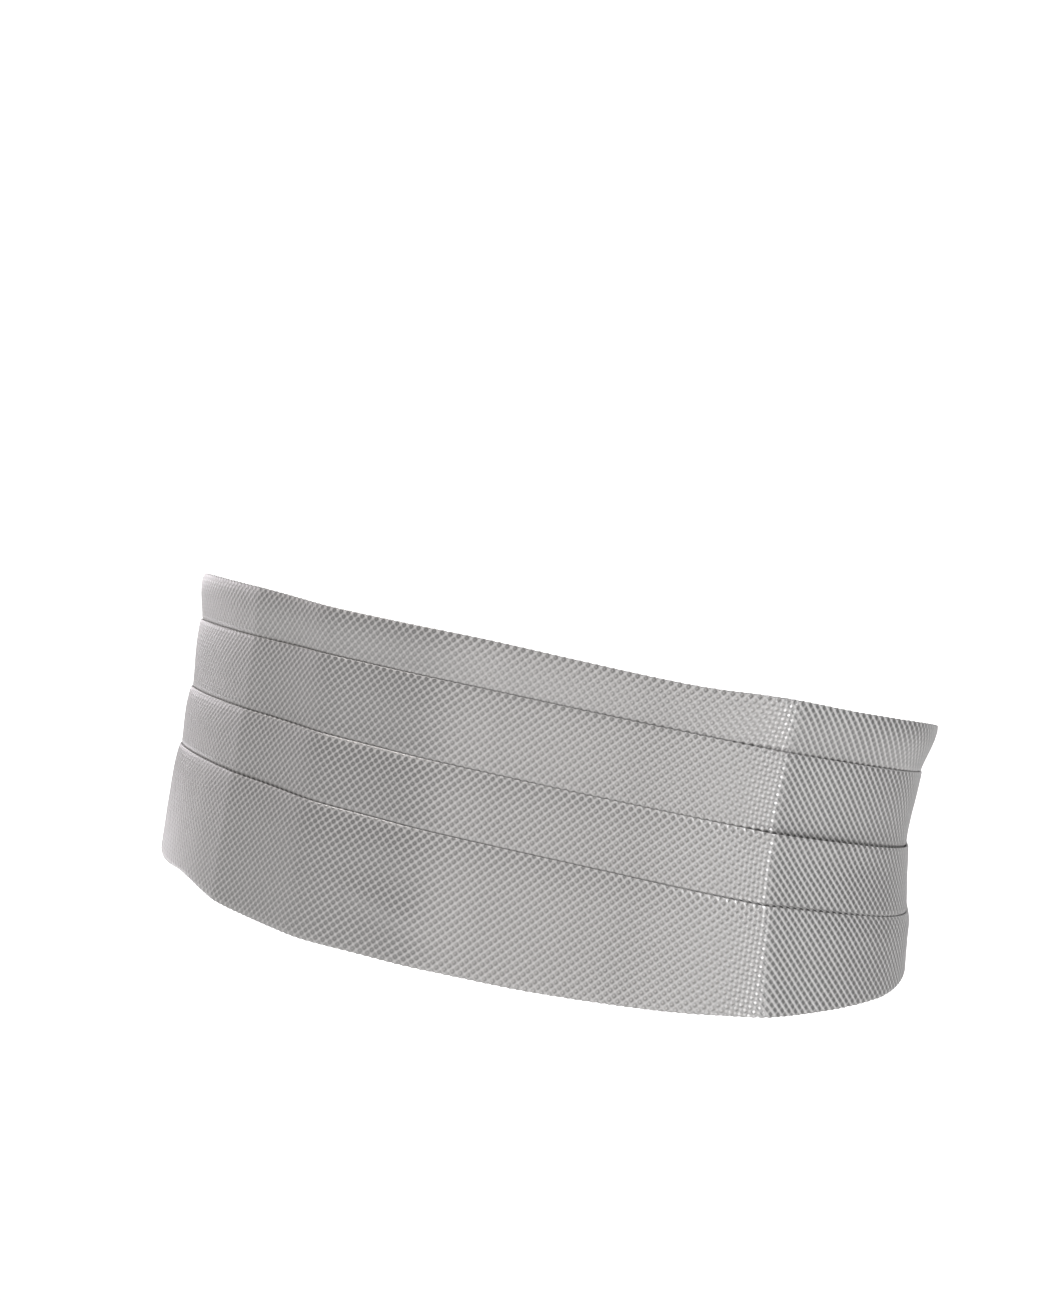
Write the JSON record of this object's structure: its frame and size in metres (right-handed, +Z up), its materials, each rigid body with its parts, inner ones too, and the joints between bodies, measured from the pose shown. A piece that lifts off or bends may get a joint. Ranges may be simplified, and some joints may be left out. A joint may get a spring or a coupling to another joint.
{
  "type": "cummerbund",
  "caption": "Pleated silk waist sash, closed round the waist: a wide folded front panel with turned hems, two flat back straps and a plain plate clasp.",
  "frame": {"origin": "in the middle of the waist that the sash goes round, at half the height of the front panel", "axes": "+Z up along the wearer's body, -Y the way the wearer and the front of the panel face, +X towards the wearer's left side"},
  "size_m": [0.3098, 0.2196, 0.1192],
  "materials": {
    "figured_silk": "silver-grey silk with a fine raised dot weave and a soft sheen",
    "strap_satin": "plain grey satin ribbon",
    "clasp_metal": "brushed"
  },
  "bodies": {
    "root": {"pleated_front": "figured_silk", "strap_left": "strap_satin", "strap_right": "strap_satin", "clasp": "clasp_metal"}
  },
  "joints": []
}
